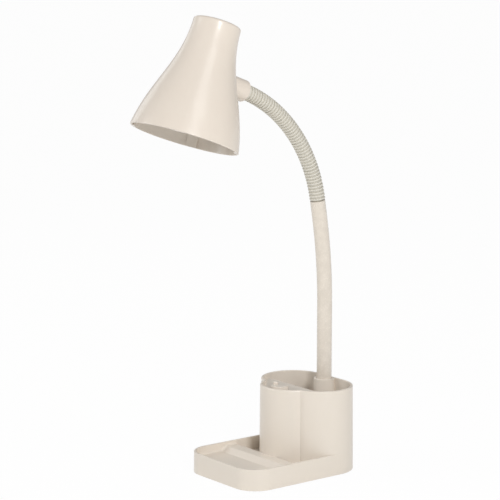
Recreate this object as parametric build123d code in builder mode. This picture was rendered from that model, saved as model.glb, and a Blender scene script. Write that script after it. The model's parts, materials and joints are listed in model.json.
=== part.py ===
"""Desk lamp on a one-piece organiser base: tray, shelf, side pockets and an oval pen holder,
a dimmer knob on the column, a smooth stem, a ribbed flexible neck and a bell shade.

Frame: origin on the desk at the middle of the base, X to the right, Y to the back, Z up.
"""
import os
from math import cos, degrees, radians, sin

from build123d import *

os.makedirs("parts", exist_ok=True)

# ---------------------------------------------------------------- driving dimensions, mm
BASE_X = 100.0            # width of the base
BASE_Y = 135.0            # depth of the base
FRONT_R = 22.0            # front corners of the footprint
TOWER_Y = 62.0            # depth of the oval tower, whose half is the rear corner radius
PAD_T = 1.2               # foam pad under the cover
RIM_Z = 20.5              # top of the low walls
TOWER_Z = 79.5            # top of the column and of the tower
WALL = 2.4                # moulded wall
DRAFT = 0.5               # draft of the outer walls, degrees
FIT = 0.1                 # clearance of fixed fits
RUN = 0.05                # radial running clearance of shafts

FLOOR_Z = 12.5            # tray floor and pen holder floor
SHELF_Z = 16.5            # shelf at the back of the tray
POCKET_Z = 8.0            # floor of the side pockets
RISER_DEPTH = 7.0         # how far the slope up to the shelf runs
SHELF_DEPTH = 11.0        # flat part of the shelf
FLOOR_ROUND = 2.5         # rounding at the foot of the tray walls
RIM_ROUND = 0.7           # outer rounding of the rim of the low walls
RIM_EDGE = 0.6            # inner rounding of both rims

COLUMN_R = 30.0           # round column in front of the tower
COLUMN_FRONT = 56.5       # its front line, from the front edge of the base
COLUMN_ROUND = 1.6        # rounding of its top edge
TOWER_ROUND = 1.0         # rounding of the tower's top edge
DECK_DROP = 4.0           # the deck lies this far below the rim
DIVIDER_T = 2.2           # wall between the column and the pen holder
PEN_Y = 38.7              # length of the pen holder, front to back
PEN_INSET = 3.0           # its wall at the foot

BOSS_R = 9.8              # boss in the pen holder that carries the stem
BOSS_WALL = 9.8           # from the rear face to the boss axis
SEAT_DROP = 25.0          # the stem stands this far below the tower's top
WEB_T = 3.0               # web under the stem

TUBE_R = 7.0              # stem tube
TUBE_WALL = 1.0
STEM_RISE = 95.5          # straight part above the seat
STEM_BEND_R = 500.0       # first soft bend
STEM_LEAN = 9.17          # lean after it, degrees
STEM_TOP = 18.0           # straight part from the soft bend to the first neck joint

NECK_R = 132.0            # bend of the ribbed neck as it stands
LINKS = 9                 # ribbed links
RIBS = 5                  # ribs on each
PITCH = 3.1               # rib pitch
CREST_R = 7.2
ROOT_R = 6.0
CREST_HALF = 0.7          # half width of a rib at its crest
ROOT_HALF = 0.825         # half width of a rib at its root
SPIGOT_R = 4.2            # spigot under each link, swivelling in the socket below it
SPIGOT_L = 3.0            # its reach past the joint centre
SOCKET_R = 5.0
SOCKET_DEPTH = 4.0        # from the joint centre down
BORE_R = 2.5              # cable way through the neck

SHADE_L = 103.5           # shade, along its axis
SHADE_WALL = 2.0
SHADE_TOP_R = 21.3
SHADE_MID_R1 = 21.5
SHADE_MID_R2 = 42.3
SHADE_MOUTH_R = 48.8
SHADE_DOME = 3.5          # rise of the domed top
COLLAR_R = 9.8
COLLAR_S = 45.0           # collar axis, down from the shade's top
COLLAR_REACH = 48.25      # from the shade axis to the last neck joint
COLLAR_IN = 22.0          # inner face of the collar, from the shade axis
LUG_W = 10.0              # pads inside the mouth
LUG_T = 2.0
LUG_L = 24.0

KNOB_R = 8.25
KNOB_T = 4.0
KNOB_SET = 15.3           # knob axis behind the column's front line
KNOB_LIFT = 0.4           # gap under the knob
NUB_R = 2.2
NUB_H = 2.6
NUB_OFF = 5.6
SHAFT_R = 2.0

SCREW_R = 1.2             # self-tapping screws
PILOT_GAP = 0.05
HEAD_R = 2.6
COVER_T = 2.0
COVER_GAP = 0.2
COVER_POST_R = 3.5
COVER_POST_SIDE = 10.0    # post axes, in from the sides
COVER_POST_FRONT = 15.5   # and from the front edge
COVER_POST_REAR = 22.5    # and from the rear edge

BALLAST_SIDE = 16.0       # ballast plate, in from the sides
BALLAST_FRONT = 5.5       # and from the front edge
BALLAST_REAR = 3.0        # its rear edge, in front of the shelf's
BALLAST_T = 6.0
PEG_R = 2.4
PEG_IN = 10.0             # pegs, in from the plate's sides

CORD_R = 1.9              # cord way in the bushing
CORD_Z = 6.8
BUSH_R = 2.65

DIMMER_X = 17.0
DIMMER_T = 7.0
DIMMER_BUSH_R = 3.5
DIMMER_NUT_R = 5.6
DIMMER_NUT_T = 1.5
SMALL_SCREW_R = 1.1
SMALL_SCREW_L = 6.0
BOARD_REACH = 0.6         # half width of the dimmer board, as a share of the column's radius
BOARD_D = 22.0
BOARD_T = 1.6
BOARD_POST_R = 2.4
BOARD_POST_IN = 3.5       # board posts, in from the board's ends

# ---------------------------------------------------------------- places worked out from them
HALF_X = BASE_X / 2
HALF_Y = BASE_Y / 2
REAR_R = TOWER_Y / 2
TOWER_CY = HALF_Y - REAR_R
COLUMN_CY = -HALF_Y + COLUMN_FRONT + COLUMN_R
DECK_Z = TOWER_Z - DECK_DROP
DECK_UNDER = DECK_Z - WALL
PEN_BACK = HALF_Y - PEN_INSET
PEN_FRONT = PEN_BACK - PEN_Y + 0.5
CORE_BACK = PEN_FRONT - DIVIDER_T
FLOOR_T = DIVIDER_T
SHELF_BACK = -HALF_Y + COLUMN_FRONT + 2.0
SHELF_FRONT = SHELF_BACK - SHELF_DEPTH
RISER_FOOT = SHELF_FRONT - RISER_DEPTH
BOSS_Y = HALF_Y - BOSS_WALL
SEAT_Z = TOWER_Z - SEAT_DROP
WEB_Z = SEAT_Z - WEB_T
NUT_WELL_R = 7.7
KNOB_Y = -HALF_Y + COLUMN_FRONT + KNOB_SET
COVER_TOP = PAD_T + COVER_T
SCREW_L = FLOOR_Z - PAD_T - 2 * FLOOR_T
KNOB_TOP = DECK_Z + KNOB_LIFT + KNOB_T
KNOB_HOLLOW_R = DIMMER_NUT_R + 0.8
SHAFT_COVER = 0.9
DIMMER_BUSH_Z = DECK_Z + DIMMER_NUT_T + 0.6
BOARD_Y = KNOB_Y + 6.7
BOARD_Z = DECK_UNDER - DIMMER_T - 4.1
BOARD_X = 2 * BOARD_REACH * COLUMN_R
BOARD_POST_X = BOARD_X / 2 - BOARD_POST_IN
BOARD_POSTS = [(-BOARD_POST_X, BOARD_Y + 5), (BOARD_POST_X, BOARD_Y + 5)]
COVER_POST_X = HALF_X - COVER_POST_SIDE
POSTS = [
    (-COVER_POST_X, COVER_POST_FRONT - HALF_Y), (COVER_POST_X, COVER_POST_FRONT - HALF_Y),
    (-COVER_POST_X, HALF_Y - COVER_POST_REAR), (COVER_POST_X, HALF_Y - COVER_POST_REAR),
]
BALLAST_X = BASE_X - 2 * BALLAST_SIDE
BALLAST_Y = SHELF_BACK - BALLAST_REAR + HALF_Y - BALLAST_FRONT
BALLAST_SET = BALLAST_FRONT - HALF_Y + BALLAST_Y / 2
PEG_X = BALLAST_X / 2 - PEG_IN


def outline(inset):
    """Footprint drawn inside the base edge by the inset."""
    with BuildSketch(mode=Mode.PRIVATE) as plan:
        with Locations((0, TOWER_CY)):
            SlotOverall(BASE_X - 2 * inset, TOWER_Y - 2 * inset)
        with Locations((0, (TOWER_CY - HALF_Y) / 2 + inset / 2)):
            Rectangle(BASE_X - 2 * inset, TOWER_CY + HALF_Y - inset)
        front = plan.vertices().group_by(Axis.Y)[0]
        fillet(front, FRONT_R - inset)
    return plan.sketch


# ================================================================ base housing
with BuildPart() as low_body:
    with BuildSketch(Plane.XY.offset(PAD_T)):
        add(outline(0))
    extrude(amount=RIM_Z - PAD_T, taper=DRAFT)
    fillet(low_body.faces().sort_by(Axis.Z)[-1].edges(), RIM_ROUND)

# open space above the floors of the tray, the shelf and the side pockets
with BuildPart() as tray_space:
    with BuildSketch(Plane.YZ):
        with BuildLine():
            Polyline(
                (-HALF_Y, FLOOR_Z), (RISER_FOOT, FLOOR_Z), (SHELF_FRONT, SHELF_Z),
                (SHELF_BACK, SHELF_Z), (SHELF_BACK, POCKET_Z), (HALF_Y, POCKET_Z),
                (HALF_Y, RIM_Z + WALL), (-HALF_Y, RIM_Z + WALL), close=True,
            )
        make_face()
    extrude(amount=HALF_X, both=True)
    with BuildSketch(Plane.XY):
        add(outline(WALL))
    extrude(amount=RIM_Z + 2 * WALL, mode=Mode.INTERSECT)
    # the walls meet the tray, the riser and the shelf in one running fillet
    foot = tray_space.edges().filter_by(lambda edge: FLOOR_Z - FIT < edge.center().Z < SHELF_Z + FIT)
    foot = foot.filter_by(lambda edge: edge.center().Y < SHELF_BACK - FIT)
    foot = foot.filter_by(lambda edge: edge.center().Y < RISER_FOOT - FIT or abs(edge.center().X) > FRONT_R)
    fillet(foot, FLOOR_ROUND)

with BuildPart() as column:
    with BuildSketch(Plane.XY.offset(PAD_T)):
        with Locations((0, COLUMN_CY)):
            Circle(COLUMN_R)
    extrude(amount=TOWER_Z - PAD_T, taper=DRAFT)
    fillet(column.faces().sort_by(Axis.Z)[-1].edges(), COLUMN_ROUND)

with BuildPart() as tower:
    with BuildSketch(Plane.XY.offset(PAD_T)):
        with Locations((0, TOWER_CY)):
            SlotOverall(BASE_X, TOWER_Y)
    extrude(amount=TOWER_Z - PAD_T, taper=DRAFT)
    fillet(tower.faces().sort_by(Axis.Z)[-1].edges(), TOWER_ROUND)

# hollow under the floors, open to the cover
with BuildPart() as under_space:
    with BuildSketch(Plane.YZ):
        with BuildLine():
            Polyline(
                (-HALF_Y, 0), (-HALF_Y, FLOOR_Z - FLOOR_T),
                (RISER_FOOT - FLOOR_T / 4, FLOOR_Z - FLOOR_T),
                (SHELF_FRONT - FLOOR_T / 4, SHELF_Z - FLOOR_T),
                (SHELF_BACK - FLOOR_T, SHELF_Z - FLOOR_T), (SHELF_BACK - FLOOR_T, POCKET_Z - FLOOR_T),
                (PEN_FRONT, POCKET_Z - FLOOR_T), (PEN_FRONT, FLOOR_Z - FLOOR_T),
                (HALF_Y, FLOOR_Z - FLOOR_T), (HALF_Y, 0), close=True,
            )
        make_face()
    extrude(amount=HALF_X, both=True)
    with BuildSketch(Plane.XY):
        add(outline(WALL + COVER_GAP))
    extrude(amount=RIM_Z, mode=Mode.INTERSECT)

# hollow of the column and of the front of the tower, up to the deck
with BuildPart() as core_space:
    with BuildSketch(Plane.XY):
        with Locations((0, COLUMN_CY)):
            Circle(COLUMN_R - WALL)
        with Locations((0, TOWER_CY)):
            SlotOverall(BASE_X - 2 * WALL, TOWER_Y - 2 * WALL)
    extrude(amount=DECK_UNDER, taper=DRAFT)
    with BuildSketch(Plane.XY):
        with Locations((0, CORE_BACK - HALF_Y)):
            Rectangle(BASE_X, BASE_Y)
    extrude(amount=DECK_UNDER, mode=Mode.INTERSECT)

# pen holder and the shallow recess over the deck, both open upwards
with BuildPart() as pen_space:
    with BuildSketch(Plane.XY.offset(FLOOR_Z)):
        with Locations((0, TOWER_CY)):
            SlotOverall(BASE_X - 2 * PEN_INSET, TOWER_Y - 2 * PEN_INSET)
        with Locations((0, PEN_FRONT - HALF_Y)):
            Rectangle(BASE_X, BASE_Y, mode=Mode.SUBTRACT)
    extrude(amount=TOWER_Z)
    with BuildSketch(Plane.XY.offset(DECK_Z)):
        with Locations((0, TOWER_CY)):
            SlotOverall(BASE_X - 2 * PEN_INSET, TOWER_Y - 2 * PEN_INSET)
        with Locations((0, COLUMN_CY)):
            Circle(COLUMN_R - PEN_INSET)
    extrude(amount=FLOOR_Z)
    with BuildSketch(Plane.XY):
        with Locations((0, BOSS_Y)):
            Circle(BOSS_R)
        with Locations((0, BOSS_Y + BOSS_R)):
            Rectangle(2 * BOSS_R - 2 * PEN_INSET, 2 * BOSS_R)
    extrude(amount=2 * TOWER_Z, mode=Mode.SUBTRACT)
    fillet(pen_space.edges().group_by(Axis.Z)[0], FLOOR_ROUND)

with BuildPart() as housing:
    add(low_body.part)
    add(tray_space.part, mode=Mode.SUBTRACT)
    add(column.part)
    add(tower.part)
    add(under_space.part, mode=Mode.SUBTRACT)
    add(core_space.part, mode=Mode.SUBTRACT)
    add(pen_space.part, mode=Mode.SUBTRACT)
    # stem socket from above, nut well from below, cable hole in the web between them
    with BuildSketch(Plane.XY.offset(SEAT_Z)):
        with Locations((0, BOSS_Y)):
            Circle(TUBE_R + FIT)
    extrude(amount=SEAT_DROP, mode=Mode.SUBTRACT)
    with BuildSketch(Plane.XY):
        with Locations((0, BOSS_Y)):
            Circle(NUT_WELL_R)
    extrude(amount=WEB_Z, mode=Mode.SUBTRACT)
    with BuildSketch(Plane.XY.offset(WEB_Z)):
        with Locations((0, BOSS_Y)):
            Circle(TUBE_R - TUBE_WALL - 1 + FIT)
    extrude(amount=WEB_T, mode=Mode.SUBTRACT)
    # inner edges of the low rim, then those of the tower's top
    rim = housing.edges().filter_by(lambda edge: abs(edge.center().Z - RIM_Z) < FIT)
    rim = rim.filter_by(lambda edge: edge.bounding_box().max.X < HALF_X - WALL + FIT)
    rim = rim.filter_by(lambda edge: edge.bounding_box().min.X > WALL - HALF_X - FIT)
    rim = rim.filter_by(lambda edge: edge.bounding_box().min.Y > WALL - HALF_Y - FIT)
    fillet(rim.filter_by(lambda edge: edge.bounding_box().size.Z < FIT), RIM_EDGE)
    rim = housing.edges().filter_by(lambda edge: abs(edge.center().Z - TOWER_Z) < FIT)
    fillet(rim.filter_by(lambda edge: edge.bounding_box().size.Z < FIT), RIM_EDGE)
    # posts for the cover screws
    with BuildSketch(Plane.XY.offset(COVER_TOP)):
        with Locations(*POSTS):
            Circle(COVER_POST_R)
    extrude(amount=FLOOR_Z - COVER_TOP - FLOOR_T / 2)
    with BuildSketch(Plane.XY.offset(COVER_TOP)):
        with Locations(*POSTS):
            Circle(SCREW_R + PILOT_GAP)
    extrude(amount=FLOOR_Z - COVER_TOP - 1.5 * FLOOR_T, mode=Mode.SUBTRACT)

    # posts for the dimmer board, hanging from the deck
    with BuildSketch(Plane.XY.offset(BOARD_Z + BOARD_T)):
        with Locations(*BOARD_POSTS):
            Circle(BOARD_POST_R)
    extrude(amount=DECK_UNDER - BOARD_Z - BOARD_T + WALL / 2)
    with BuildSketch(Plane.XY.offset(BOARD_Z + BOARD_T)):
        with Locations(*BOARD_POSTS):
            Circle(SMALL_SCREW_R + PILOT_GAP)
    extrude(amount=SMALL_SCREW_L, mode=Mode.SUBTRACT)
    # dimmer hole in the deck and cord hole in the rear wall
    with BuildSketch(Plane.XY.offset(DECK_UNDER - WALL)):
        with Locations((0, KNOB_Y)):
            Circle(DIMMER_BUSH_R + FIT)
    extrude(amount=2 * WALL + FIT, mode=Mode.SUBTRACT)
    with BuildSketch(Plane.XZ.offset(-HALF_Y - WALL)):
        with Locations((0, CORD_Z)):
            Circle(BUSH_R + RUN)
    extrude(amount=4 * WALL, mode=Mode.SUBTRACT)

# ================================================================ cover, pad, ballast, screws
with BuildPart() as cover:
    with BuildSketch(Plane.XY.offset(PAD_T)):
        add(outline(WALL + 2 * COVER_GAP))
    extrude(amount=COVER_T)
    with BuildSketch(Plane.XY.offset(COVER_TOP)):
        with Locations((-PEG_X, BALLAST_SET), (PEG_X, BALLAST_SET)):
            Circle(PEG_R)
    extrude(amount=BALLAST_T - COVER_T)
    with Locations(Plane(origin=(0, 0, PAD_T), x_dir=(1, 0, 0), z_dir=(0, 0, -1))):
        with Locations(*[(x, -y) for x, y in POSTS]):
            CounterSinkHole(SCREW_R + FIT, HEAD_R + FIT, depth=COVER_T)

with BuildPart() as pad:
    with BuildSketch():
        add(outline(2 * COVER_GAP + 2 * WALL))
        with Locations(*POSTS):
            Circle(HEAD_R + 1.5, mode=Mode.SUBTRACT)
    extrude(amount=PAD_T)

with BuildPart() as ballast:
    with BuildSketch(Plane.XY.offset(COVER_TOP)):
        with Locations((0, BALLAST_SET)):
            RectangleRounded(BALLAST_X, BALLAST_Y, 3)
        with Locations((-PEG_X, BALLAST_SET), (PEG_X, BALLAST_SET)):
            Circle(PEG_R + FIT, mode=Mode.SUBTRACT)
    extrude(amount=BALLAST_T)


def cover_screw(x, y):
    """Countersunk self-tapping screw, head flush with the cover's underside."""
    with BuildPart() as screw:
        with BuildSketch(Plane(origin=(x, y, PAD_T), x_dir=(1, 0, 0), z_dir=(0, -1, 0))):
            with BuildLine():
                Polyline(
                    (0, 0), (HEAD_R, 0), (SCREW_R, HEAD_R - SCREW_R),
                    (SCREW_R, SCREW_L - SCREW_R), (0, SCREW_L), close=True,
                )
            make_face()
        revolve(axis=Axis((x, y, 0), (0, 0, 1)))
        with BuildSketch(Plane((x, y, PAD_T))):
            Rectangle(0.8 * HEAD_R, 0.25 * HEAD_R)
            Rectangle(0.25 * HEAD_R, 0.8 * HEAD_R)
        extrude(amount=0.3 * HEAD_R, mode=Mode.SUBTRACT)
    return screw.part


# ================================================================ dimmer and its knob
with BuildPart() as board:
    with BuildSketch(Plane.XY.offset(BOARD_Z)):
        with Locations((0, BOARD_Y)):
            RectangleRounded(BOARD_X, BOARD_D, 1)
        with Locations(*BOARD_POSTS):
            Circle(SMALL_SCREW_R + FIT, mode=Mode.SUBTRACT)
    extrude(amount=BOARD_T)
    with BuildSketch(Plane.XY.offset(BOARD_Z)):
        with Locations((-0.12 * BOARD_X, BOARD_Y - 0.2 * BOARD_D)):
            Rectangle(BOARD_X / 4, BOARD_D / 5)
        with Locations((0.18 * BOARD_X, BOARD_Y + 0.1 * BOARD_D)):
            Circle(BOARD_D / 6)
    extrude(amount=-BOARD_D / 3)

with BuildPart() as dimmer:
    with BuildSketch(Plane.XY.offset(DECK_UNDER - DIMMER_T)):
        with Locations((0, KNOB_Y)):
            RectangleRounded(DIMMER_X, DIMMER_X, 1)
    extrude(amount=DIMMER_T)
    with BuildSketch(Plane.XY.offset(DECK_UNDER)):
        with Locations((0, KNOB_Y)):
            Circle(DIMMER_BUSH_R)
    extrude(amount=DIMMER_BUSH_Z - DECK_UNDER)
    with BuildSketch(Plane.XY.offset(DECK_UNDER - DIMMER_T / 2)):
        with Locations((0, KNOB_Y)):
            Circle(SHAFT_R + RUN)
    extrude(amount=DIMMER_T + WALL + DECK_DROP, mode=Mode.SUBTRACT)
    with BuildSketch(Plane.XY.offset(BOARD_Z + BOARD_T)):
        with Locations((0, KNOB_Y - DIMMER_X / 4)):
            with GridLocations(DIMMER_X / 3, 1, 3, 1):
                Rectangle(1, 0.6)
    extrude(amount=DECK_UNDER - DIMMER_T - BOARD_Z - BOARD_T)

with BuildPart() as dimmer_nut:
    with BuildSketch(Plane.XY.offset(DECK_Z)):
        with Locations((0, KNOB_Y)):
            RegularPolygon(DIMMER_NUT_R, 6)
            Circle(DIMMER_BUSH_R + RUN, mode=Mode.SUBTRACT)
    extrude(amount=DIMMER_NUT_T)

with BuildPart() as shaft:
    with BuildSketch(Plane.XY.offset(DECK_UNDER - DIMMER_T / 2 + FIT)):
        with Locations((0, KNOB_Y)):
            Circle(SHAFT_R)
    extrude(amount=KNOB_TOP - SHAFT_COVER - DECK_UNDER + DIMMER_T / 2 - FIT)

with BuildPart() as knob:
    with BuildSketch(Plane.XY.offset(DECK_Z + KNOB_LIFT)):
        with Locations((0, KNOB_Y)):
            Circle(KNOB_R)
    extrude(amount=KNOB_T, taper=2 * DRAFT)
    fillet(knob.faces().sort_by(Axis.Z)[-1].edges(), KNOB_T / 5)
    with BuildSketch(Plane.XY.offset(KNOB_TOP - KNOB_T / 8)):
        with Locations((-NUB_OFF, KNOB_Y)):
            Circle(NUB_R)
    extrude(amount=NUB_H + KNOB_T / 8)
    fillet(knob.faces().sort_by(Axis.Z)[-1].edges(), NUB_R / 2)
    with BuildSketch(Plane.XY.offset(DECK_Z)):
        with Locations((0, KNOB_Y)):
            Circle(KNOB_HOLLOW_R)
    extrude(amount=DIMMER_BUSH_Z - DECK_Z + KNOB_LIFT, mode=Mode.SUBTRACT)
    with BuildSketch(Plane.XY.offset(DECK_Z)):
        with Locations((0, KNOB_Y)):
            Circle(SHAFT_R)
    extrude(amount=KNOB_TOP - SHAFT_COVER - DECK_Z, mode=Mode.SUBTRACT)


def board_screw(x, y):
    """Pan head screw, driven upwards through the board."""
    with BuildPart() as screw:
        with BuildSketch(Plane(origin=(x, y, BOARD_Z), x_dir=(1, 0, 0), z_dir=(0, -1, 0))):
            with BuildLine():
                Polyline(
                    (0, -SMALL_SCREW_R), (1.2 * SMALL_SCREW_R, -SMALL_SCREW_R),
                    (2 * SMALL_SCREW_R, -SMALL_SCREW_R / 2), (2 * SMALL_SCREW_R, 0),
                    (SMALL_SCREW_R, 0), (SMALL_SCREW_R, SMALL_SCREW_L), (0, SMALL_SCREW_L + 1),
                    close=True,
                )
            make_face()
        revolve(axis=Axis((x, y, 0), (0, 0, 1)))
    return screw.part


# ================================================================ cord bushing in the rear wall
with BuildPart() as bushing:
    with BuildSketch(Plane.YZ):
        with BuildLine():
            Polyline(
                (PAD_T + HALF_Y, CORD_Z + CORD_R), (PAD_T + HALF_Y, CORD_Z + 1.4 * BUSH_R),
                (HALF_Y + PAD_T / 2, CORD_Z + 1.65 * BUSH_R), (HALF_Y, CORD_Z + 1.65 * BUSH_R),
                (HALF_Y, CORD_Z + BUSH_R), (HALF_Y - WALL - COVER_GAP, CORD_Z + BUSH_R),
                (HALF_Y - WALL - COVER_GAP, CORD_Z + 1.25 * BUSH_R),
                (HALF_Y - 1.5 * WALL, CORD_Z + 1.1 * BUSH_R),
                (HALF_Y - 1.5 * WALL, CORD_Z + CORD_R), close=True,
            )
        make_face()
    revolve(axis=Axis((0, 0, CORD_Z), (0, 1, 0)))

# ================================================================ stem
STEM_ARC = radians(STEM_LEAN)
BEND_Z = SEAT_Z + STEM_RISE
LEAN_Y = BOSS_Y - STEM_BEND_R * (1 - cos(STEM_ARC))
LEAN_Z = BEND_Z + STEM_BEND_R * sin(STEM_ARC)
NECK_Y = LEAN_Y - STEM_TOP * sin(STEM_ARC)
NECK_Z = LEAN_Z + STEM_TOP * cos(STEM_ARC)
HALF_GAP = PITCH / 2 - ROOT_HALF
SOCKET_H = SOCKET_DEPTH - HALF_GAP + 1.5
TUBE_END = STEM_TOP - HALF_GAP - SOCKET_H
PLUG_L = 9.0


def stem_point(run):
    """Point on the leaning straight of the stem, the run measured from the soft bend's end."""
    return (0, LEAN_Y - run * sin(STEM_ARC), LEAN_Z + run * cos(STEM_ARC))


LEAN_UP = (0, -sin(STEM_ARC), cos(STEM_ARC))

with BuildPart() as tube:
    with BuildLine() as tube_line:
        stem_low = Line((0, BOSS_Y, SEAT_Z), (0, BOSS_Y, BEND_Z))
        stem_arc = ThreePointArc(
            stem_low @ 1,
            (0, BOSS_Y - STEM_BEND_R * (1 - cos(STEM_ARC / 2)), BEND_Z + STEM_BEND_R * sin(STEM_ARC / 2)),
            stem_point(0),
        )
        stem_high = Line(stem_arc @ 1, stem_point(TUBE_END))
    with BuildSketch(Plane.XY.offset(SEAT_Z)):
        with Locations((0, BOSS_Y)):
            Circle(TUBE_R)
            Circle(TUBE_R - TUBE_WALL, mode=Mode.SUBTRACT)
    sweep()

# threaded fitting that clamps the stem to the web
FERRULE_R = TUBE_R - TUBE_WALL - RUN
THREAD_R = TUBE_R - TUBE_WALL - 1
NUT_T = 4.0
WASHER_T = 1.2
with BuildPart() as ferrule:
    with BuildSketch(Plane.YZ):
        with BuildLine():
            Polyline(
                (BOSS_Y + BORE_R + 0.7, WEB_Z - NUT_T - 3 * WASHER_T),
                (BOSS_Y + THREAD_R - 0.5, WEB_Z - NUT_T - 3 * WASHER_T),
                (BOSS_Y + THREAD_R, WEB_Z - NUT_T - 2.5 * WASHER_T),
                (BOSS_Y + THREAD_R, SEAT_Z), (BOSS_Y + FERRULE_R, SEAT_Z),
                (BOSS_Y + FERRULE_R, SEAT_Z + 2.5 * FERRULE_R),
                (BOSS_Y + BORE_R + 0.7, SEAT_Z + 2.5 * FERRULE_R), close=True,
            )
        make_face()
    revolve(axis=Axis((0, BOSS_Y, 0), (0, 0, 1)))

with BuildPart() as washer:
    with BuildSketch(Plane.XY.offset(WEB_Z - WASHER_T)):
        with Locations((0, BOSS_Y)):
            Circle(NUT_WELL_R - 2 * FIT)
            Circle(THREAD_R + FIT, mode=Mode.SUBTRACT)
    extrude(amount=WASHER_T)

with BuildPart() as nut:
    with BuildSketch(Plane.XY.offset(WEB_Z - WASHER_T - NUT_T)):
        with Locations((0, BOSS_Y)):
            RegularPolygon(NUT_WELL_R - 3 * FIT, 6)
            Circle(THREAD_R + RUN, mode=Mode.SUBTRACT)
    extrude(amount=NUT_T)

# socket closing the top of the stem
with BuildPart() as stem_socket:
    with BuildSketch(Plane(origin=stem_point(TUBE_END), x_dir=(1, 0, 0), z_dir=LEAN_UP)):
        Circle(TUBE_R)
    extrude(amount=SOCKET_H)
    with BuildSketch(Plane(origin=stem_point(TUBE_END), x_dir=(1, 0, 0), z_dir=LEAN_UP)):
        Circle(FERRULE_R)
    extrude(amount=-PLUG_L)
    with BuildSketch(Plane(origin=stem_point(TUBE_END - PLUG_L), x_dir=(1, 0, 0), z_dir=LEAN_UP)):
        Circle(BORE_R)
    extrude(amount=PLUG_L + SOCKET_H, mode=Mode.SUBTRACT)
    with BuildSketch(Plane(origin=stem_point(STEM_TOP), x_dir=(1, 0, 0), z_dir=LEAN_UP)):
        Circle(SOCKET_R)
    extrude(amount=-SOCKET_DEPTH, mode=Mode.SUBTRACT)

# ================================================================ ribbed neck links
NECK_CY = NECK_Y - NECK_R * cos(STEM_ARC)
NECK_CZ = NECK_Z - NECK_R * sin(STEM_ARC)
LINK_L = RIBS * PITCH


def neck_plane(run):
    """Plane square to the neck at an arc length from the first joint."""
    lean = STEM_ARC + run / NECK_R
    return Plane(
        origin=(0, NECK_CY + NECK_R * cos(lean), NECK_CZ + NECK_R * sin(lean)),
        x_dir=(1, 0, 0), z_dir=(0, -sin(lean), cos(lean)),
    )


def neck_link(number):
    """Curved link: ribbed outside, spigot at the lower end, socket at the upper end."""
    start = (number - 1) * LINK_L
    rings = []
    for rib in range(RIBS):
        mid = start + (rib + 0.5) * PITCH
        rings += [
            (mid - ROOT_HALF, ROOT_R), (mid - CREST_HALF, CREST_R),
            (mid + CREST_HALF, CREST_R), (mid + ROOT_HALF, ROOT_R),
        ]
    with BuildPart() as link:
        for run, radius in rings:
            with BuildSketch(neck_plane(run)):
                Circle(radius)
        loft(ruled=True)
        with BuildSketch(neck_plane(start).offset(-SPIGOT_L)):
            Circle(SPIGOT_R)
        extrude(amount=SPIGOT_L + HALF_GAP + CREST_HALF)
        with BuildSketch(neck_plane(start + LINK_L)):
            Circle(SOCKET_R)
        extrude(amount=-SOCKET_DEPTH, mode=Mode.SUBTRACT)
        with BuildSketch(neck_plane(start - 2 * SPIGOT_L)):
            Circle(BORE_R)
        revolve(
            axis=Axis((0, NECK_CY, NECK_CZ), (1, 0, 0)),
            revolution_arc=degrees((LINK_L + 2 * SPIGOT_L) / NECK_R), mode=Mode.SUBTRACT,
        )
    return link.part


# ================================================================ head
END_LEAN = STEM_ARC + LINKS * LINK_L / NECK_R
NECK_END = neck_plane(LINKS * LINK_L).origin
REARWARD = Vector(0, sin(END_LEAN), -cos(END_LEAN))     # from the shade axis to the neck
UPWARD = Vector(0, cos(END_LEAN), sin(END_LEAN))        # along the shade axis, away from the mouth
COLLAR_AXIS_AT = NECK_END - REARWARD * COLLAR_REACH
HEAD_TOP = COLLAR_AXIS_AT + UPWARD * COLLAR_S
COLLAR_END = COLLAR_REACH - HALF_GAP
SECTION = Plane(origin=HEAD_TOP, x_dir=REARWARD, z_dir=(1, 0, 0))
COLLAR_SECTION = Plane(origin=COLLAR_AXIS_AT, x_dir=REARWARD, z_dir=(1, 0, 0))
HEAD_AXIS = Axis(HEAD_TOP, UPWARD)
COLLAR_AXIS = Axis(COLLAR_AXIS_AT, REARWARD)
MID_S1 = 40.0             # the bell's curve is drawn through these two depths
MID_S2 = 62.0


def across(reach):
    """Plane square to the collar at a distance from the shade axis, facing inwards."""
    return Plane(origin=COLLAR_AXIS_AT + REARWARD * reach, x_dir=(1, 0, 0), z_dir=-REARWARD)


def along(depth):
    """Plane square to the shade axis at a depth under its top, facing the mouth."""
    return Plane(origin=HEAD_TOP - UPWARD * depth, x_dir=(1, 0, 0), z_dir=-UPWARD)


def bell(inset):
    """Control points of the bell's side, drawn in from the outside by the inset."""
    return [
        (SHADE_TOP_R - inset, 0), (SHADE_MID_R1 - inset, -MID_S1),
        (SHADE_MID_R2 - inset, -MID_S2), (SHADE_MOUTH_R - inset, -SHADE_L),
    ]


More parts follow.
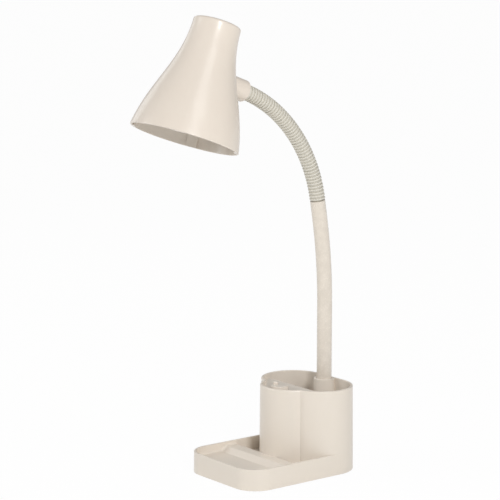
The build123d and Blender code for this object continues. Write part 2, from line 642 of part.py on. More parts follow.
with BuildPart() as shade:
    with BuildSketch(SECTION) as bell_section:
        with BuildLine():
            Bezier((0, SHADE_DOME), (0.75 * SHADE_TOP_R, SHADE_DOME),
                   (SHADE_TOP_R, 0.75 * SHADE_DOME), (SHADE_TOP_R, 0))
            Bezier(*bell(0))
            Line((SHADE_MOUTH_R, -SHADE_L), (SHADE_MOUTH_R - SHADE_WALL, -SHADE_L))
            Bezier(*bell(SHADE_WALL)[::-1])
            Bezier((SHADE_TOP_R - SHADE_WALL, 0), (SHADE_TOP_R - SHADE_WALL, SHADE_DOME - SHADE_WALL),
                   (0.7 * SHADE_TOP_R, SHADE_DOME - SHADE_WALL), (0, SHADE_DOME - SHADE_WALL))
            Line((0, SHADE_DOME - SHADE_WALL), (0, SHADE_DOME))
        make_face()
        fillet(bell_section.vertices().sort_by(Axis.Y)[:2], 0.3 * SHADE_WALL)
    revolve(axis=HEAD_AXIS)
    with BuildSketch(across(COLLAR_END)):
        Circle(COLLAR_R)
    extrude(amount=COLLAR_END - COLLAR_IN)
    fillet(shade.faces().filter_by(GeomType.PLANE).sort_by(COLLAR_AXIS)[-1].edges(), SHADE_WALL / 2)
    with BuildSketch(across(COLLAR_END)):
        Circle(ROOT_R + FIT)
    extrude(amount=COLLAR_END - COLLAR_IN - SHADE_WALL - 1, mode=Mode.SUBTRACT)
    with BuildSketch(across(COLLAR_END)):
        Circle(THREAD_R + FIT)
    extrude(amount=COLLAR_END - COLLAR_IN, mode=Mode.SUBTRACT)

# four pads inside the mouth
with BuildPart() as lugs:
    with BuildSketch(SECTION):
        with BuildLine():
            lug_out = Bezier(*bell(SHADE_WALL - LUG_T / 4))
            lug_foot = Line(lug_out @ 1, bell(SHADE_WALL + LUG_T)[3])
            lug_in = Bezier(*bell(SHADE_WALL + LUG_T)[::-1])
            Line(lug_in @ 1, lug_out @ 0)
        make_face()
        with Locations((0, -SHADE_L + LUG_L / 2)):
            Rectangle(2 * BASE_X, LUG_L, mode=Mode.INTERSECT)
    revolve(axis=HEAD_AXIS)
    with BuildSketch(along(SHADE_L)):
        Rectangle(BASE_X, LUG_W, rotation=45)
        Rectangle(BASE_X, LUG_W, rotation=-45)
    extrude(amount=-LUG_L, mode=Mode.INTERSECT)

with BuildPart() as lamp_shade:
    add(shade.part)
    add(lugs.part)

# fitting between the neck and the collar: spigot behind, threaded tube through the shade wall
COLLAR_SEAT = COLLAR_IN + SHADE_WALL + 1
STRIP_T = 1.5
HEAD_NUT_T = 3.0
THREAD_END = COLLAR_IN - STRIP_T - 1.5 * HEAD_NUT_T - 0.5
with BuildPart() as head_ferrule:
    with BuildSketch(COLLAR_SECTION):
        with BuildLine():
            Polyline(
                (COLLAR_REACH + SPIGOT_L, 0), (COLLAR_REACH + SPIGOT_L, SPIGOT_R), (COLLAR_END, SPIGOT_R),
                (COLLAR_END, ROOT_R), (COLLAR_SEAT, ROOT_R),
                (COLLAR_SEAT, THREAD_R), (THREAD_END + 0.5, THREAD_R),
                (THREAD_END, THREAD_R - 0.5), (THREAD_END, 0), close=True,
            )
        make_face()
    revolve(axis=COLLAR_AXIS)
    with BuildSketch(across(COLLAR_REACH + SPIGOT_L)):
        Circle(BORE_R)
    extrude(amount=COLLAR_REACH, mode=Mode.SUBTRACT)

with BuildPart() as head_nut:
    with BuildSketch(across(COLLAR_IN - STRIP_T)):
        RegularPolygon(THREAD_R + 3.5, 6)
        Circle(THREAD_R + RUN, mode=Mode.SUBTRACT)
    extrude(amount=HEAD_NUT_T)

# bent steel strip from the collar to the lampholder
STRIP_W = 16.0
STRIP_FOOT = COLLAR_S + 7.0
STRIP_KNEE = 31.0
STRIP_TOP = 8.0
STRIP_RUN = 16.3
STRIP_TIP = -13.0
HOLDER_TOP = STRIP_TOP + STRIP_T
HOLDER_SCREW_X = 9.8
with BuildPart() as strip:
    with BuildSketch(SECTION):
        with BuildLine():
            Polyline(
                (COLLAR_IN, -STRIP_FOOT), (COLLAR_IN, -STRIP_KNEE), (STRIP_RUN, -STRIP_TOP),
                (STRIP_TIP, -STRIP_TOP), (STRIP_TIP, -HOLDER_TOP), (STRIP_RUN - STRIP_T * 0.75, -HOLDER_TOP),
                (COLLAR_IN - STRIP_T, -STRIP_KNEE), (COLLAR_IN - STRIP_T, -STRIP_FOOT), close=True,
            )
        make_face()
    extrude(amount=STRIP_W / 2, both=True)
    with BuildSketch(across(COLLAR_IN + 1)):
        Circle(THREAD_R + FIT)
    extrude(amount=STRIP_T + 2, mode=Mode.SUBTRACT)
    with BuildSketch(along(STRIP_TOP - 1)):
        Circle(BORE_R + 1)
        with Locations((0, HOLDER_SCREW_X), (0, -HOLDER_SCREW_X)):
            Circle(SMALL_SCREW_R + FIT)
    extrude(amount=STRIP_T + 2, mode=Mode.SUBTRACT)

# lampholder, bulb cap, bulb
HOLDER_R = 13.5
HOLDER_BORE = 7.2
HOLDER_CAP = 6.5
HOLDER_END = 44.0
CAP_R = 6.95
CAP_TOP = 19.0
CAP_END = 41.0
BODY_R = 9.5
GLOBE_R = 22.5
GLOBE_S = 72.5
GLOBE_CUT_R = 20.0
GLOBE_CUT = GLOBE_S - (GLOBE_R ** 2 - GLOBE_CUT_R ** 2) ** 0.5
GLOBE_WALL = 1.2
with BuildPart() as holder:
    with BuildSketch(SECTION):
        with BuildLine():
            Polyline(
                (BORE_R + 1, -HOLDER_TOP), (HOLDER_R - 1, -HOLDER_TOP), (HOLDER_R, -HOLDER_TOP - 1),
                (HOLDER_R, -HOLDER_TOP - 14), (HOLDER_R - 1.5, -HOLDER_TOP - 15),
                (HOLDER_R - 1.5, -HOLDER_END + 5), (HOLDER_R, -HOLDER_END + 4), (HOLDER_R, -HOLDER_END),
                (HOLDER_BORE, -HOLDER_END), (HOLDER_BORE, -HOLDER_TOP - HOLDER_CAP),
                (BORE_R + 1, -HOLDER_TOP - HOLDER_CAP), close=True,
            )
        make_face()
    revolve(axis=HEAD_AXIS)
    with BuildSketch(along(HOLDER_TOP)):
        with Locations((0, HOLDER_SCREW_X), (0, -HOLDER_SCREW_X)):
            Circle(SMALL_SCREW_R + PILOT_GAP)
    extrude(amount=HOLDER_CAP - 1, mode=Mode.SUBTRACT)


def holder_screw(side):
    """Pan head screw holding the lampholder under the strip."""
    with BuildPart() as screw:
        with BuildSketch(SECTION):
            with BuildLine():
                Polyline(
                    (side, -STRIP_TOP + 1.4), (side + SMALL_SCREW_R, -STRIP_TOP + 1.4),
                    (side + 2 * SMALL_SCREW_R, -STRIP_TOP + 0.7), (side + 2 * SMALL_SCREW_R, -STRIP_TOP),
                    (side + SMALL_SCREW_R, -STRIP_TOP), (side + SMALL_SCREW_R, -HOLDER_TOP - 4),
                    (side, -HOLDER_TOP - 5), close=True,
                )
            make_face()
        revolve(axis=Axis(HEAD_TOP + REARWARD * side, UPWARD))
    return screw.part


with BuildPart() as bulb_cap:
    with BuildSketch(SECTION):
        with BuildLine():
            Polyline(
                (0, -CAP_TOP + 2), (3, -CAP_TOP + 2), (4, -CAP_TOP), (CAP_R - 1, -CAP_TOP),
                (CAP_R, -CAP_TOP - 2), (CAP_R - 0.7, -CAP_TOP - 4), (CAP_R, -CAP_TOP - 6),
                (CAP_R - 0.7, -CAP_TOP - 8), (CAP_R, -CAP_TOP - 10), (CAP_R - 0.7, -CAP_TOP - 12),
                (CAP_R, -CAP_TOP - 14), (CAP_R, -CAP_END), (0, -CAP_END), close=True,
            )
        make_face()
    revolve(axis=HEAD_AXIS)

with BuildPart() as bulb_body:
    with BuildSketch(SECTION):
        with BuildLine():
            Polyline(
                (0, -CAP_END), (CAP_R, -CAP_END), (CAP_R, -HOLDER_END), (BODY_R, -HOLDER_END),
                (BODY_R + 0.5, -HOLDER_END - 2), (GLOBE_CUT_R, -GLOBE_CUT), (0, -GLOBE_CUT), close=True,
            )
        make_face()
    revolve(axis=HEAD_AXIS)

with BuildPart() as globe:
    with BuildSketch(SECTION):
        with Locations((0, -GLOBE_S)):
            Circle(GLOBE_R)
            Circle(GLOBE_R - GLOBE_WALL, mode=Mode.SUBTRACT)
        with Locations((BASE_X / 2, -GLOBE_CUT - BASE_Y / 2)):
            Rectangle(BASE_X, BASE_Y, mode=Mode.INTERSECT)
    revolve(axis=HEAD_AXIS)

# ================================================================ the separate pieces
pieces = {
    "base_housing": housing.part,
    "bottom_cover": cover.part,
    "nonslip_pad": pad.part,
    "ballast_plate": ballast.part,
    "dimmer_board": board.part,
    "dimmer_body": dimmer.part,
    "dimmer_nut": dimmer_nut.part,
    "dimmer_shaft": shaft.part,
    "dimmer_knob": knob.part,
    "cord_bushing": bushing.part,
    "stem_tube": tube.part,
    "stem_ferrule": ferrule.part,
    "stem_washer": washer.part,
    "stem_nut": nut.part,
    "stem_end_socket": stem_socket.part,
    "head_ferrule": head_ferrule.part,
    "head_nut": head_nut.part,
    "lamp_shade": lamp_shade.part,
    "holder_bracket": strip.part,
    "lampholder": holder.part,
    "bulb_cap": bulb_cap.part,
    "bulb_body": bulb_body.part,
    "bulb_globe": globe.part,
}
for number, (x, y) in enumerate(POSTS, start=1):
    pieces[f"cover_screw_{number}"] = cover_screw(x, y)
for number, (x, y) in enumerate(BOARD_POSTS, start=1):
    pieces[f"board_screw_{number}"] = board_screw(x, y)
for number, side in enumerate((-HOLDER_SCREW_X, HOLDER_SCREW_X), start=1):
    pieces[f"holder_screw_{number}"] = holder_screw(side)
for number in range(1, LINKS + 1):
    pieces[f"neck_link_{number}"] = neck_link(number)

for node, body in pieces.items():
    body.label = node
    export_step(body, f"parts/{node}.step")
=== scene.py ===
"""Looks of a desk lamp on an organiser base: cream plastic, ribbed vinyl neck, white bulb."""
import json
import math

import bmesh
import bpy
from bpy.props import FloatProperty, FloatVectorProperty, PointerProperty
from mathutils import Matrix, Vector

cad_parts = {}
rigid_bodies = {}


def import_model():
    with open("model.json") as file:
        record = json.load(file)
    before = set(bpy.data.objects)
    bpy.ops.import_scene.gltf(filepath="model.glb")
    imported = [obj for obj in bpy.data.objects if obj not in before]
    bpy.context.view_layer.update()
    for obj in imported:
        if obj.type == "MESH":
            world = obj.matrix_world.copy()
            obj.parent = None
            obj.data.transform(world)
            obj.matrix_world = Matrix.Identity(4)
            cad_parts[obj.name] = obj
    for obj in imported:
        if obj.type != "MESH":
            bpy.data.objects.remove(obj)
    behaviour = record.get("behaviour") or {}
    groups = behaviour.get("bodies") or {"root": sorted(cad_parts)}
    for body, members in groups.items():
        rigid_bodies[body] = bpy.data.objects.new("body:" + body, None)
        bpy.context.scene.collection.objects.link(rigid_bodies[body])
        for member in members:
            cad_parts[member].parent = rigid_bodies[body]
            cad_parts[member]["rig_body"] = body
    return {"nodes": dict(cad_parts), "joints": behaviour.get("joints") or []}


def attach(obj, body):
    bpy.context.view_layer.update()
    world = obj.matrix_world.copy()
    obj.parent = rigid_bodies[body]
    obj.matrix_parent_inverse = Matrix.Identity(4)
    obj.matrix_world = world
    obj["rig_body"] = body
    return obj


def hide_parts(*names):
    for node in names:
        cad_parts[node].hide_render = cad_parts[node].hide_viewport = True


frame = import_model()
NODES = frame["nodes"]
JOINTS = {joint["name"]: joint for joint in frame["joints"]}
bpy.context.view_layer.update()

bl_info = {
    "name": "Organiser desk lamp",
    "version": (1, 0, 0),
    "blender": (4, 5, 0),
    "location": "3D View > Sidebar > Lamp",
    "description": "Dresses the desk lamp's frame with its plastics, metals and light",
    "category": "Object",
}

MM = 0.001

# ------------------------------------------------------------------ fixed numbers of the pieces
CREASE = math.radians(32)    # an edge that turns more than this stays sharp
NODE_WELD = 0.002 * MM       # merges the loose triangles in a frame node's copy
RING_WELD = 0.001 * MM       # merges a link's last ring with its first

LINKS = 9
RIBS = 5                     # on each link
RING_POINTS = 72             # round each ring
ARC_STEPS = 8                # along each ball and hollow
RIB_FOOT = 0.825 * MM        # half of a rib's width at its root
RIB_EDGE = (                 # half of its width higher up, and how far below the crest that is
    (0.745 * MM, 0.26 * MM),
    (0.66 * MM, 0.07 * MM),
    (0.48 * MM, 0.0),
)
SOCKET_PLAY = 0.1 * MM       # between the first ball and the stem's socket
GROOVE_SHADE_LIP = 0.01 * MM       # a ring that is less than this over the root takes the painted shade of the grooves

# ------------------------------------------------------------------ fixed numbers of the looks
TONE_BAND = (0.2, 0.8)       # noise values where the second tone ends and the first begins
BUMP_STRENGTH = 0.6

FLOOR_REACH = 40.0           # metres each way from the lamp, so that no horizon shows
FLOOR_WHITE = 0.97           # share of plain white in what is seen of the floor, shadow aside
SKY_STRENGTH = 0.36          # of the light from all round

LIGHTS_AIM = (0, -0.02, 0.2)    # about the middle of the lamp
LIGHTS = (
    # name, place in metres, width, height, watts
    ("key_box", (1.35, -0.55, 0.75), 0.3, 0.5, 11.6),
    ("high_box", (0.9, -0.1, 1.3), 0.5, 0.5, 2.4),
    ("fill_box", (-0.9, -1.2, 0.8), 0.5, 0.6, 7.0),
    ("top_box", (0.0, 0.0, 1.5), 0.8, 0.8, 1.0),
    ("left_box", (-1.4, -0.1, 0.7), 0.6, 0.8, 2.0),
)

CAMERA_PLACE = (1.3010, -1.0390, 0.4707)    # metres
SENSOR_WIDTH = 36                           # millimetres


# ------------------------------------------------------------------ colours and nodes
def linear(hex_colour):
    """sRGB hex to linear colour, with alpha 1."""
    out = []
    for k in (1, 3, 5):
        value = int(hex_colour[k:k + 2], 16) / 255
        out.append(value / 12.92 if value <= 0.04045 else ((value + 0.055) / 1.055) ** 2.4)
    return (*out, 1.0)


WHITE = linear("#FFFFFF")


def put(tree, kind, links=None, stops=(), **settings):
    """Adds a node with its colour stops, sockets (in_NAME or in_NUMBER), properties and links."""
    node = tree.nodes.new(kind)
    for number, (position, colour) in enumerate(stops):
        node.color_ramp.elements[number].position = position
        node.color_ramp.elements[number].color = colour
    for name, value in settings.items():
        if name.startswith("in_"):
            socket = name[3:].replace("_", " ")
            node.inputs[int(socket) if socket.isdigit() else socket].default_value = value
        else:
            setattr(node, name, value)
    for socket, source in (links or {}).items():
        tree.links.new(source, node.inputs[socket])
    return node


def bare_tree(holder):
    """Emptied node tree of a material or a world."""
    holder.use_nodes = True
    holder.node_tree.nodes.clear()
    return holder.node_tree


def finish(name, pieces, first, second, *,
           speck_mm, grain_mm, bump_mm, rough, spread, groove_shade=None, **shader):
    """Makes one finish and gives it to its pieces.

    It has two close tones in soft specks, and a grain that drives the bump and how far the
    roughness strays from its middle. The grain of a polished tool, of enamel or of rolled metal
    is some 0.05 mm wide, too fine to show in the render, so it is drawn as coarse as it needs to
    be to show. groove_shade is painted shade: a colour that multiplies the finish where a
    piece's groove_shade attribute marks it.
    """
    material = bpy.data.materials.new(name)
    tree = bare_tree(material)
    at = put(tree, "ShaderNodeTexCoord").outputs["Object"]
    specks = put(tree, "ShaderNodeTexNoise", {"Vector": at},
                 in_Scale=1 / (speck_mm * MM), in_Detail=3.0)
    grain = put(tree, "ShaderNodeTexNoise", {"Vector": at},
                in_Scale=1 / (grain_mm * MM), in_Detail=2.0).outputs["Fac"]
    colour = put(tree, "ShaderNodeValToRGB", {"Fac": specks.outputs["Fac"]},
                 stops=zip(TONE_BAND, (second, first))).outputs["Color"]
    # painted shade: the finish is drawn darker where the groove_shade attribute marks it
    if groove_shade is not None:
        groove_shade_mask = put(tree, "ShaderNodeAttribute", attribute_name="groove_shade")
        tint = put(tree, "ShaderNodeValToRGB", {"Fac": groove_shade_mask.outputs["Fac"]},
                   stops=((0, WHITE), (1, groove_shade)))
        colour = put(tree, "ShaderNodeVectorMath", {0: colour, 1: tint.outputs["Color"]},
                     operation="MULTIPLY").outputs["Vector"]
    gloss = put(tree, "ShaderNodeMapRange", {"Value": grain},
                in_To_Min=rough - spread, in_To_Max=rough + spread)
    bump = put(tree, "ShaderNodeBump", {"Height": grain},
               in_Strength=BUMP_STRENGTH, in_Distance=bump_mm * MM)
    surface = put(tree, "ShaderNodeBsdfPrincipled", {
        "Base Color": colour,
        "Roughness": gloss.outputs["Result"],
        "Normal": bump.outputs["Normal"],
    }, **shader)
    put(tree, "ShaderNodeOutputMaterial", {"Surface": surface.outputs["BSDF"]})
    for piece in pieces:
        mesh = (bpy.data.objects.get(f"{piece}_skin") or NODES[piece]).data
        mesh.materials.clear()
        mesh.materials.append(material)


# ------------------------------------------------------------------ making pieces
def add_object(name, data):
    """New object at the origin, in the scene."""
    made = bpy.data.objects.new(name, data)
    bpy.context.scene.collection.objects.link(made)
    return made


def settle(shape, node):
    """Makes a bmesh the piece that stands for a frame node, smooth but for its real edges."""
    for face in shape.faces:
        face.smooth = True
    for edge in shape.edges:
        edge.smooth = len(edge.link_faces) == 2 and edge.calc_face_angle(0.0) < CREASE
    mesh = bpy.data.meshes.new(f"{node}_skin")
    shape.to_mesh(mesh)
    shape.free()
    piece = add_object(f"{node}_skin", mesh)
    piece.modifiers.new("even_shading", "WEIGHTED_NORMAL").keep_sharp = True
    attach(piece, NODES[node]["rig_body"])
    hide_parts(node)


def weld(node):
    """Stands for a frame node with a merged copy of it, whose curves shade smoothly."""
    shape = bmesh.new()
    shape.from_mesh(NODES[node].data)
    bmesh.ops.remove_doubles(shape, verts=shape.verts, dist=NODE_WELD)
    settle(shape, node)


def ring_tube(rings):
    """Tube through rings: each is a matrix, a radius and its share of the painted shade of the
    grooves.

    The first ring takes no share: it is inside, where the last one is merged with it.
    """
    shape = bmesh.new()
    # painted shade of the grooves, carried on the rings as an attribute
    groove_shade = shape.verts.layers.float.new("groove_shade")
    last, radius, _ = rings[0]
    bmesh.ops.create_circle(shape, segments=RING_POINTS, radius=radius, matrix=last)
    edges = list(shape.edges)
    for place, wide, share in rings[1:]:
        grown = bmesh.ops.extrude_edge_only(shape, edges=edges)["geom"]
        rim = [part for part in grown if isinstance(part, bmesh.types.BMVert)]
        edges = [part for part in grown if isinstance(part, bmesh.types.BMEdge)]
        step = place @ Matrix.Scale(wide / radius, 4) @ last.inverted()
        bmesh.ops.transform(shape, matrix=step, verts=rim)
        for vert in rim:
            vert[groove_shade] = share
        last, radius = place, wide
    return shape


def placed(place, right, up, back):
    """Matrix that moves to a place and turns X, Y and Z to three directions."""
    return Matrix.Translation(place) @ Matrix((right, up, back)).transposed().to_4x4()


# ------------------------------------------------------------------ the neck's outline
def arc(radius, start, end, centre=0.0):
    """Points of a ball or hollow: runs along the neck and the radius at each."""
    runs = [start + k / ARC_STEPS * (end - start) for k in range(ARC_STEPS + 1)]
    return [(centre + run, math.sqrt(radius ** 2 - run ** 2)) for run in runs]


def link_outline(size, ball):
    """Closed outline of one link from its lower joint: ball, ribs, hollow above and cable way."""
    length = RIBS * size.pitch
    gap = size.pitch / 2 - RIB_FOOT
    lower_half = [(-RIB_FOOT, size.root)] + [(-half, size.crest - drop) for half, drop in RIB_EDGE]
    rib = lower_half + [(-run, wide) for run, wide in reversed(lower_half)]
    ribs = [((k + 0.5) * size.pitch + run, wide) for k in range(RIBS) for run, wide in rib]
    foot = (-size.reach, size.bore)
    return [
        foot,
        *arc(ball, -size.reach, gap),
        *ribs,
        *arc(size.hollow, -gap, -size.depth, centre=length),
        (length - size.depth, size.bore),
        foot,
    ]


# ------------------------------------------------------------------ what a user would change
COLOUR = {"size": 4, "min": 0, "max": 1, "subtype": "COLOR"}


class LampColours(bpy.types.PropertyGroup):
    """Colours that show most"""
    base: FloatVectorProperty(
        name="Base", description="Moulded base and knob",
        default=linear("#E6DDD2"), **COLOUR)
    base_deep: FloatVectorProperty(
        name="Base, second tone", description="Slightly deeper tone of the base",
        default=linear("#E5DCD0"), **COLOUR)
    shade: FloatVectorProperty(
        name="Shade", description="Moulded shade",
        default=linear("#E2D8CC"), **COLOUR)
    shade_deep: FloatVectorProperty(
        name="Shade, second tone", description="Slightly deeper tone of the shade",
        default=linear("#E1D6CA"), **COLOUR)
    neck: FloatVectorProperty(
        name="Neck", description="Ribbed vinyl",
        default=linear("#D8D4CA"), **COLOUR)
    neck_deep: FloatVectorProperty(
        name="Neck, second tone", description="Slightly deeper tone of the neck",
        default=linear("#D6D2C7"), **COLOUR)
    # painted shade: the neck's colour is multiplied by this between its ribs
    groove_shade: FloatVectorProperty(
        name="Groove", description="Tint over the neck's colour between its ribs",
        default=linear("#EAE9E6"), **COLOUR)
    stem: FloatVectorProperty(
        name="Stem", description="Enamelled stem",
        default=linear("#DAD1C5"), **COLOUR)


class NeckSizes(bpy.types.PropertyGroup):
    """Ribbed neck"""
    bend: FloatProperty(
        name="Bend", description="Radius of the neck's curve", default=0.132, unit="LENGTH")
    pitch: FloatProperty(
        name="Pitch", description="From rib to rib", default=0.0031, unit="LENGTH")
    crest: FloatProperty(
        name="Crest", description="Outer radius of the ribs", default=0.0072, unit="LENGTH")
    root: FloatProperty(
        name="Root", description="Radius between the ribs", default=0.0064, unit="LENGTH")
    ball: FloatProperty(
        name="Ball", description="Radius of a link's rounded lower end",
        default=0.00636, unit="LENGTH")
    hollow: FloatProperty(
        name="Hollow", description="Radius of the hollow that the next ball turns in",
        default=0.00642, unit="LENGTH")
    reach: FloatProperty(
        name="Ball reach", description="How far the ball goes below its joint",
        default=0.003, unit="LENGTH")
    depth: FloatProperty(
        name="Hollow depth", description="How far the hollow goes below the joint in it",
        default=0.004, unit="LENGTH")
    socket: FloatProperty(
        name="Stem socket", description="Radius of the socket in the stem's upper end",
        default=0.005, unit="LENGTH")
    bore: FloatProperty(
        name="Bore", description="Radius of the cable way", default=0.0025, unit="LENGTH")


class CameraSizes(bpy.types.PropertyGroup):
    """View of the lamp"""
    lens: FloatProperty(
        name="Lens", description="Focal length in millimetres", default=134.28, unit="CAMERA")
    azimuth: FloatProperty(
        name="Azimuth", description="Camera's turn about the lamp",
        default=math.radians(52.2), subtype="ANGLE")
    pitch: FloatProperty(
        name="Pitch", description="Camera's tilt downwards",
        default=math.radians(9.05), subtype="ANGLE")


# ------------------------------------------------------------------ operators
class LAMP_OT_stem(bpy.types.Operator):
    """Smooth enamelled stem and its end socket"""
    bl_idname = "lamp.stem"
    bl_label = "Make the stem"

    def execute(self, context):
        tint = context.scene.lamp_colours
        pieces = ("stem_tube", "stem_end_socket")
        for node in pieces:
            weld(node)
        # baked enamel on steel tube: glossy and even, with a slight orange peel
        finish("baked_stem_enamel", pieces, tint.stem, tint.base_deep,
               speck_mm=7, grain_mm=1.4, bump_mm=0.003, rough=0.27, spread=0.02,
               in_IOR=1.5, in_Coat_Weight=0.25, in_Coat_Roughness=0.08)
        return {"FINISHED"}


class LAMP_OT_neck(bpy.types.Operator):
    """Nine ribbed vinyl links along the bend"""
    bl_idname = "lamp.neck"
    bl_label = "Make the ribbed neck"

    def execute(self, context):
        size = context.scene.neck_sizes
        # the top joint's axis points straight away from the bend's centre
        top = JOINTS[f"neck_swing_{LINKS + 1}"]
        centre = Vector(top["pos_m"]) - Vector(top["axis"]) * size.bend
        start = Vector(JOINTS["neck_bend_1"]["pos_m"]) - centre
        lean = math.atan2(start.z, start.y)

        def ring(run):
            """Matrix of the ring that is this far up the neck"""
            turn = lean + run / size.bend
            side = Vector((0, math.cos(turn), math.sin(turn)))
            along = Vector((0, -math.sin(turn), math.cos(turn)))
            return placed(centre + side * size.bend, (1, 0, 0), side, along)

        names = [f"neck_link_{number}" for number in range(1, LINKS + 1)]
        for number, name in enumerate(names):
            # the first ball sits in the stem's narrower socket
            ball = size.socket - SOCKET_PLAY if number == 0 else size.ball
            joint = number * RIBS * size.pitch
            # rings close to the root take the painted shade between the ribs
            shape = ring_tube([
                (ring(joint + run), wide, float(wide < size.root + GROOVE_SHADE_LIP))
                for run, wide in link_outline(size, ball)])
            bmesh.ops.remove_doubles(shape, verts=shape.verts, dist=RING_WELD)
            bmesh.ops.recalc_face_normals(shape, faces=shape.faces)
            settle(shape, name)
        # moulded soft vinyl: satin, duller and a little greyer than the hard plastic, with painted
        # shade, in a dusty tone, between the ribs
        tint = context.scene.lamp_colours
        finish("moulded_satin_vinyl", names, tint.neck, tint.neck_deep,
               speck_mm=3, grain_mm=0.4, bump_mm=0.002, rough=0.5, spread=0.03,
               groove_shade=tint.groove_shade, in_IOR=1.5)
        return {"FINISHED"}


class LAMP_OT_base(bpy.types.Operator):
    """Finishes of the base, its knob and the plastics in and under it"""
    bl_idname = "lamp.base"
    bl_label = "Finish the base"

    def execute(self, context):
        tint = context.scene.lamp_colours
        # ABS moulded in a polished tool: even cream, soft clear gloss, faint unevenness of flow
        finish("moulded_cream_abs", ("base_housing", "dimmer_knob"), tint.base, tint.base_deep,
               speck_mm=9, grain_mm=1.2, bump_mm=0.002, rough=0.31, spread=0.02,
               in_IOR=1.53, in_Coat_Weight=0.05, in_Coat_Roughness=0.15)
        # ABS moulded in a spark-eroded tool: the pebbled grain leaves it matt
        finish("textured_cover_abs", ("bottom_cover",), linear("#D8D2C5"), linear("#D2CBBE"),
               speck_mm=9, grain_mm=0.7, bump_mm=0.05, rough=0.55, spread=0.05, in_IOR=1.53)
        # die-cut closed-cell foam: near black and dull, pitted by its cells
        finish("closed_cell_foam", ("nonslip_pad",), linear("#24231F"), linear("#1B1A18"),
               speck_mm=1.6, grain_mm=0.5, bump_mm=0.2, rough=0.9, spread=0.05, in_IOR=1.5)
        # pressed paper phenolic: half-dull brown, flecked by its fibres
        finish("phenolic_board", ("dimmer_board",), linear("#8A6A3C"), linear("#7B5C31"),
               speck_mm=1.2, grain_mm=0.4, bump_mm=0.03, rough=0.5, spread=0.05, in_IOR=1.55)
        # moulded black phenolic: close to black, half glossy
        finish("moulded_black_phenolic", ("dimmer_body",), linear("#1E1E20"), linear("#17171A"),
               speck_mm=3, grain_mm=0.5, bump_mm=0.02, rough=0.45, spread=0.05, in_IOR=1.55)
        # moulded soft vinyl: satin, a shade deeper than the wall it sits in
        finish("moulded_cream_vinyl", ("cord_bushing",), linear("#D2CCBE"), linear("#C9C3B4"),
               speck_mm=5, grain_mm=0.5, bump_mm=0.02, rough=0.5, spread=0.05, in_IOR=1.5)
        return {"FINISHED"}


class LAMP_OT_head(bpy.types.Operator):
    """Finishes of the shade, the lampholder and the bulb"""
    bl_idname = "lamp.head"
    bl_label = "Finish the head"

    def execute(self, context):
        tint = context.scene.lamp_colours
        # ABS moulded in a polished tool: as the base, a touch deeper, with more of a clear gloss
        finish("moulded_shade_abs", ("lamp_shade",), tint.shade, tint.shade_deep,
               speck_mm=9, grain_mm=1.2, bump_mm=0.002, rough=0.33, spread=0.02,
               in_IOR=1.53, in_Coat_Weight=0.2, in_Coat_Roughness=0.10)
        # moulded heat-proof polyester: clean white, soft gloss
        finish("moulded_white_polyester", ("lampholder",), linear("#E9E7E0"), linear("#E2DFD7"),
               speck_mm=9, grain_mm=0.8, bump_mm=0.015, rough=0.35, spread=0.05, in_IOR=1.55)
        # moulded white nylon: the whitest of the hard plastics, smooth
        finish("moulded_white_nylon", ("bulb_body",), linear("#EEEEEA"), linear("#E8E8E4"),
               speck_mm=12, grain_mm=0.8, bump_mm=0.01, rough=0.3, spread=0.04, in_IOR=1.5)
        # moulded opal acrylic: milky, as light sinks in a few millimetres before it comes back
        finish("moulded_opal_acrylic", ("bulb_globe",), linear("#F4F3EE"), linear("#EFEEE8"),
               speck_mm=12, grain_mm=0.8, bump_mm=0.01, rough=0.32, spread=0.04, in_IOR=1.49,
               in_Subsurface_Weight=0.2, in_Subsurface_Scale=0.004)
        return {"FINISHED"}


class LAMP_OT_metals(bpy.types.Operator):
    """Finishes of the screws, nuts, fittings and strips"""
    bl_idname = "lamp.metals"
    bl_label = "Finish the metals"

    def execute(self, context):
        screws = [node for node in NODES if "screw" in node]
        fittings = ("dimmer_shaft", "dimmer_nut", "stem_ferrule", "stem_washer", "stem_nut",
                    "head_ferrule", "head_nut")
        # zinc-plated turned steel: cool grey, finely clouded gloss
        finish("zinc_plated_steel", (*fittings, *screws), linear("#BDBEBC"), linear("#A9ABAA"),
               speck_mm=2, grain_mm=0.3, bump_mm=0.01, rough=0.32, spread=0.08, in_Metallic=1.0)
        # zinc-plated rolled steel: paler and a little duller, in broader clouds
        finish("zinc_plated_strip", ("holder_bracket", "ballast_plate"),
               linear("#C6C6C2"), linear("#B4B4B1"),
               speck_mm=7, grain_mm=0.4, bump_mm=0.01, rough=0.38, spread=0.06, in_Metallic=1.0)
        # nickel-plated pressed brass: warm pale metal, the glossiest of the three
        finish("nickel_plated_brass", ("bulb_cap",), linear("#CFC9BC"), linear("#BDB6A8"),
               speck_mm=3, grain_mm=0.4, bump_mm=0.01, rough=0.22, spread=0.05, in_Metallic=1.0)
        return {"FINISHED"}


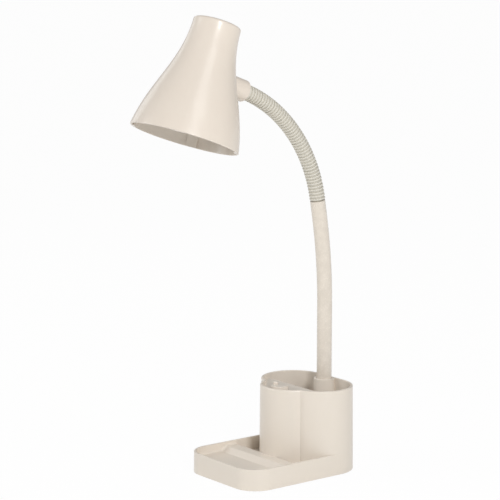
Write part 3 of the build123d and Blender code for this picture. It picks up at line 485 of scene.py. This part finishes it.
def make_floor():
    """Paper floor, nearly white for what looks at it, that keeps the lamp's shadow."""
    sheet = bmesh.new()
    bmesh.ops.create_grid(sheet, x_segments=1, y_segments=1, size=FLOOR_REACH)
    mesh = bpy.data.meshes.new("floor")
    sheet.to_mesh(mesh)
    sheet.free()
    add_object("floor", mesh)
    # uncoated paper: plain matt white
    material = bpy.data.materials.new("floor_paper")
    tree = bare_tree(material)
    ray = put(tree, "ShaderNodeLightPath").outputs
    paper = put(tree, "ShaderNodeBsdfDiffuse", in_Color=linear("#FAFAF8"))
    white = put(tree, "ShaderNodeEmission", in_Color=WHITE, in_Strength=1.0)
    direct = put(tree, "ShaderNodeMath", {0: ray["Is Camera Ray"], 1: ray["Is Glossy Ray"]},
                 operation="ADD")
    # clamped, so that no ray counts twice
    seen = put(tree, "ShaderNodeMath", {0: direct.outputs[0], 1: ray["Is Transmission Ray"]},
               operation="ADD", use_clamp=True)
    share = put(tree, "ShaderNodeMath", {0: seen.outputs[0]},
                operation="MULTIPLY", in_1=FLOOR_WHITE)
    mixed = put(tree, "ShaderNodeMixShader", {
        0: share.outputs[0], 1: paper.outputs[0], 2: white.outputs[0]})
    put(tree, "ShaderNodeOutputMaterial", {"Surface": mixed.outputs[0]})
    mesh.materials.append(material)


def make_sky():
    """Soft light from all round that the camera sees as plain white."""
    world = bpy.data.worlds.new("studio")
    bpy.context.scene.world = world
    tree = bare_tree(world)
    ray = put(tree, "ShaderNodeLightPath").outputs
    soft = put(tree, "ShaderNodeBackground", in_Color=linear("#F7F6F4"), in_Strength=SKY_STRENGTH)
    white = put(tree, "ShaderNodeBackground", in_Color=WHITE, in_Strength=1.0)
    mixed = put(tree, "ShaderNodeMixShader", {
        0: ray["Is Camera Ray"], 1: soft.outputs[0], 2: white.outputs[0]})
    put(tree, "ShaderNodeOutputWorld", {"Surface": mixed.outputs[0]})


def make_lights():
    """Soft boxes round the lamp, turned to its middle."""
    for name, place, wide, high, watts in LIGHTS:
        box = bpy.data.lights.new(name, "AREA")
        box.shape = "RECTANGLE"
        box.size = wide
        box.size_y = high
        box.energy = watts
        turn = (Vector(LIGHTS_AIM) - Vector(place)).to_track_quat("-Z", "Y")
        add_object(name, box).matrix_world = Matrix.Translation(place) @ turn.to_matrix().to_4x4()


def make_camera(size):
    """Camera at the photograph's place and angle."""
    turn, pitch = size.azimuth, size.pitch
    right = Vector((math.cos(turn), math.sin(turn), 0))
    back = Vector((
        math.sin(turn) * math.cos(pitch), -math.cos(turn) * math.cos(pitch), math.sin(pitch)))
    lens = bpy.data.cameras.new("camera")
    lens.lens = size.lens
    lens.sensor_width = SENSOR_WIDTH
    camera = add_object("camera", lens)
    camera.matrix_world = placed(CAMERA_PLACE, right, back.cross(right), back)
    bpy.context.scene.camera = camera


class LAMP_OT_stage(bpy.types.Operator):
    """Floor, background, soft lights and camera"""
    bl_idname = "lamp.stage"
    bl_label = "Set the stage"

    def execute(self, context):
        make_floor()
        make_sky()
        make_lights()
        make_camera(context.scene.camera_sizes)
        context.scene.view_settings.view_transform = "Standard"
        return {"FINISHED"}


class LAMP_PT_panel(bpy.types.Panel):
    """Lists the steps that dress the lamp"""
    bl_idname = "LAMP_PT_panel"
    bl_label = "Lamp"
    bl_space_type = "VIEW_3D"
    bl_region_type = "UI"
    bl_category = "Lamp"

    def draw(self, context):
        for step in STEPS:
            self.layout.operator(step.bl_idname)


STEPS = (LAMP_OT_stem, LAMP_OT_neck, LAMP_OT_base, LAMP_OT_head, LAMP_OT_metals, LAMP_OT_stage)
CLASSES = (LampColours, NeckSizes, CameraSizes, *STEPS, LAMP_PT_panel)


def register():
    for one in CLASSES:
        bpy.utils.register_class(one)
    bpy.types.Scene.lamp_colours = PointerProperty(type=LampColours)
    bpy.types.Scene.neck_sizes = PointerProperty(type=NeckSizes)
    bpy.types.Scene.camera_sizes = PointerProperty(type=CameraSizes)


def unregister():
    del bpy.types.Scene.camera_sizes
    del bpy.types.Scene.neck_sizes
    del bpy.types.Scene.lamp_colours
    for one in reversed(CLASSES):
        bpy.utils.unregister_class(one)


def main():
    register()
    bpy.ops.lamp.stem()
    bpy.ops.lamp.neck()
    bpy.ops.lamp.base()
    bpy.ops.lamp.head()
    bpy.ops.lamp.metals()
    bpy.ops.lamp.stage()


if __name__ == "__main__":
    main()
